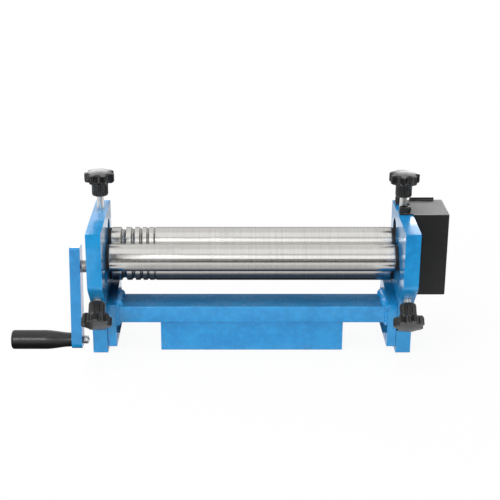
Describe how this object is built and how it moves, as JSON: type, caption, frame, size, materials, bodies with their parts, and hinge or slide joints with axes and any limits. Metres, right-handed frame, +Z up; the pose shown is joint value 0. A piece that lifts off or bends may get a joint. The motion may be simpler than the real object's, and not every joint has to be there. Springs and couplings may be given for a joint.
{
  "type": "slip roll",
  "caption": "Hand-cranked bench slip roll: geared grooved rollers and a bending roller between slotted side plates, with star-knob adjusters and a gear cover.",
  "frame": {"origin": "middle of the vise bar's bottom face, midway between the side plates, level with the side plates' feet", "axes": "+X along the rollers towards the gear cover, +Y to the back, away from the bending roller, +Z up"},
  "size_m": [0.5006, 0.1334, 0.2142],
  "materials": {
    "blue_paint": "gloss enamel",
    "ground_steel": "ground",
    "dark_steel": "oiled",
    "black_oxide": "black oxide",
    "bronze": "sintered bronze",
    "black_plastic": "moulded",
    "black_powder": "satin powder coat",
    "zinc": "zinc plated"
  },
  "bodies": {
    "frame": {"side_plate_left": "blue_paint", "side_plate_right": "blue_paint", "end_plate_left": "blue_paint", "end_plate_right": "blue_paint", "cross_beam": "blue_paint", "vise_bar": "blue_paint", "weld_left": "blue_paint", "weld_right": "blue_paint", "weld_bar": "blue_paint", "frame_screw_left_front": "black_oxide", "frame_screw_left_rear": "black_oxide", "frame_screw_right_front": "black_oxide", "frame_screw_right_rear": "black_oxide", "lower_bush_left": "bronze", "lower_bush_right": "bronze", "gear_cover": "black_powder", "cover_screw_front": "black_oxide", "cover_screw_rear": "black_oxide"},
    "crank_drive": {"lower_roller": "ground_steel", "lower_washer_left": "black_oxide", "lower_washer_right": "black_oxide", "lower_gear": "dark_steel", "lower_key": "dark_steel", "lower_gear_washer": "zinc", "lower_gear_screw": "black_oxide", "crank_arm": "blue_paint", "crank_set_screw": "black_oxide", "handle_spindle": "zinc", "handle_nut": "zinc"},
    "crank_grip": {"grip": "black_plastic"},
    "upper_blocks": {"upper_block_left": "dark_steel", "upper_block_right": "dark_steel"},
    "upper_roll": {"upper_roller": "ground_steel", "upper_washer_left": "black_oxide", "upper_washer_right": "black_oxide", "upper_gear": "dark_steel", "upper_key": "dark_steel", "upper_gear_washer": "zinc", "upper_gear_screw": "black_oxide"},
    "top_adjuster_left": {"top_knob_left": "black_plastic", "top_screw_left": "zinc"},
    "top_adjuster_right": {"top_knob_right": "black_plastic", "top_screw_right": "zinc"},
    "bend_blocks": {"bend_block_left": "dark_steel", "bend_block_right": "dark_steel"},
    "bend_roll": {"bending_roller": "ground_steel", "bending_washer_left": "black_oxide", "bending_washer_right": "black_oxide"},
    "front_adjuster_left": {"front_knob_left": "black_plastic", "front_screw_left": "zinc"},
    "front_adjuster_right": {"front_knob_right": "black_plastic", "front_screw_right": "zinc"}
  },
  "joints": [
    {"name": "crank_turn", "type": "hinge", "parent": "frame", "child": "crank_drive", "pos_m": [0, 0.0405, 0.08465], "axis": [1, 0, 0], "continuous": true},
    {"name": "grip_turn", "type": "hinge", "parent": "crank_drive", "child": "crank_grip", "pos_m": [-0.24, 0.02825, -0.00249], "axis": [1, 0, 0], "continuous": true},
    {"name": "upper_lift", "type": "slide", "parent": "frame", "child": "upper_blocks", "axis": [0, 0, 1], "range_m": [0, 0.0035]},
    {"name": "upper_roll_turn", "type": "hinge", "parent": "upper_blocks", "child": "upper_roll", "pos_m": [0, 0.0405, 0.11645], "axis": [1, 0, 0], "continuous": true},
    {"name": "top_knob_left_turn", "type": "hinge", "parent": "upper_blocks", "child": "top_adjuster_left", "pos_m": [-0.17175, 0.0405, 0.17], "axis": [0, 0, 1], "range_deg": [0, 1010]},
    {"name": "top_knob_right_turn", "type": "hinge", "parent": "upper_blocks", "child": "top_adjuster_right", "pos_m": [0.17175, 0.0405, 0.17], "axis": [0, 0, 1], "range_deg": [0, 1010]},
    {"name": "bend_shift", "type": "slide", "parent": "frame", "child": "bend_blocks", "axis": [0, 0.7071, 0.7071], "range_m": [-0.018, 0.002]},
    {"name": "bend_roll_turn", "type": "hinge", "parent": "bend_blocks", "child": "bend_roll", "pos_m": [0, 0.00799, 0.10798], "axis": [1, 0, 0], "continuous": true},
    {"name": "front_knob_left_turn", "type": "hinge", "parent": "bend_blocks", "child": "front_adjuster_left", "pos_m": [-0.17175, -0.03202, 0.06798], "axis": [0, 0.7071, 0.7071], "range_deg": [-5190, 580]},
    {"name": "front_knob_right_turn", "type": "hinge", "parent": "bend_blocks", "child": "front_adjuster_right", "pos_m": [0.17175, -0.03202, 0.06798], "axis": [0, 0.7071, 0.7071], "range_deg": [-5190, 580]}
  ],
  "couplings": [
    {"joint": "upper_roll_turn", "follows": "crank_turn", "ratio": -1},
    {"joint": "top_knob_left_turn", "follows": "upper_lift", "rad_per_m": 5026.5},
    {"joint": "top_knob_right_turn", "follows": "upper_lift", "rad_per_m": 5026.5},
    {"joint": "front_knob_left_turn", "follows": "bend_shift", "rad_per_m": 5026.5},
    {"joint": "front_knob_right_turn", "follows": "bend_shift", "rad_per_m": 5026.5}
  ]
}
